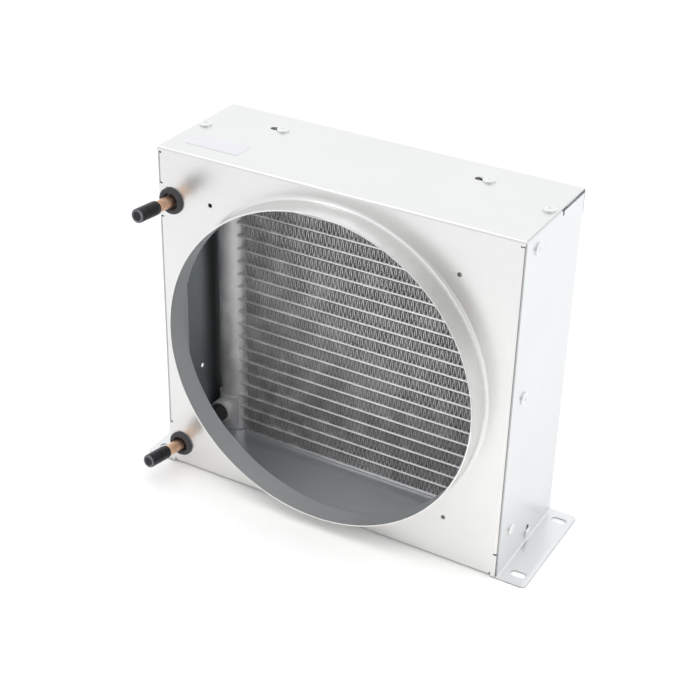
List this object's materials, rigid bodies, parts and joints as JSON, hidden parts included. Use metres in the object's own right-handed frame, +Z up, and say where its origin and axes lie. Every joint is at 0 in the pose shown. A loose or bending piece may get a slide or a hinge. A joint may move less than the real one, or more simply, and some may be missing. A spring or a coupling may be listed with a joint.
{
  "type": "refrigeration condenser",
  "caption": "Box-shaped air-cooled refrigerant condenser with a round fan collar, slotted feet and capped copper pipe ends.",
  "frame": {"origin": "middle of the four foot slots, on the underside of the feet", "axes": "+X to the right along the feet's outward direction, +Y from the fan collar towards the open back, +Z up"},
  "size_m": [0.3, 0.1264, 0.2468],
  "materials": {
    "galvanised_sheet": "smooth galvanised, faint rolling marks",
    "coil_aluminium": "brazed, dull",
    "copper": "drawn copper, slightly darkened",
    "grommet_rubber": "matt black rubber",
    "sleeve_plastic": "shrunk black sleeve",
    "cap_plastic": "soft black vinyl with a slight sheen",
    "screw_steel": "zinc plated",
    "label_white": "blank paper label"
  },
  "bodies": {
    "casing": {"fan_shroud": "galvanised_sheet", "floor_panel": "galvanised_sheet", "left_side_panel": "galvanised_sheet", "right_side_panel": "galvanised_sheet", "flat_tubes": "coil_aluminium", "fin_rows": "coil_aluminium", "left_header": "coil_aluminium", "right_header": "coil_aluminium", "left_header_caps": "coil_aluminium", "right_header_caps": "coil_aluminium", "header_baffle": "coil_aluminium", "top_side_plate": "coil_aluminium", "bottom_side_plate": "coil_aluminium", "upper_boss": "coil_aluminium", "lower_boss": "coil_aluminium", "upper_pipe": "copper", "lower_pipe": "copper", "upper_sleeve": "sleeve_plastic", "lower_sleeve": "sleeve_plastic", "upper_grommet": "grommet_rubber", "lower_grommet": "grommet_rubber", "left_side_screws": "screw_steel", "right_side_screws": "screw_steel", "floor_screws": "screw_steel", "top_edge_screws": "screw_steel", "coil_screws": "screw_steel"},
    "upper_cap_body": {"upper_cap": "cap_plastic"},
    "lower_cap_body": {"lower_cap": "cap_plastic"}
  },
  "joints": [
    {"name": "upper_cap_pull", "type": "slide", "parent": "casing", "child": "upper_cap_body", "axis": [-0.028, -0.9966, 0.077], "range_m": [0, 0.045]},
    {"name": "lower_cap_pull", "type": "slide", "parent": "casing", "child": "lower_cap_body", "axis": [-0.074, -0.9912, 0.1096], "range_m": [0, 0.045]}
  ]
}
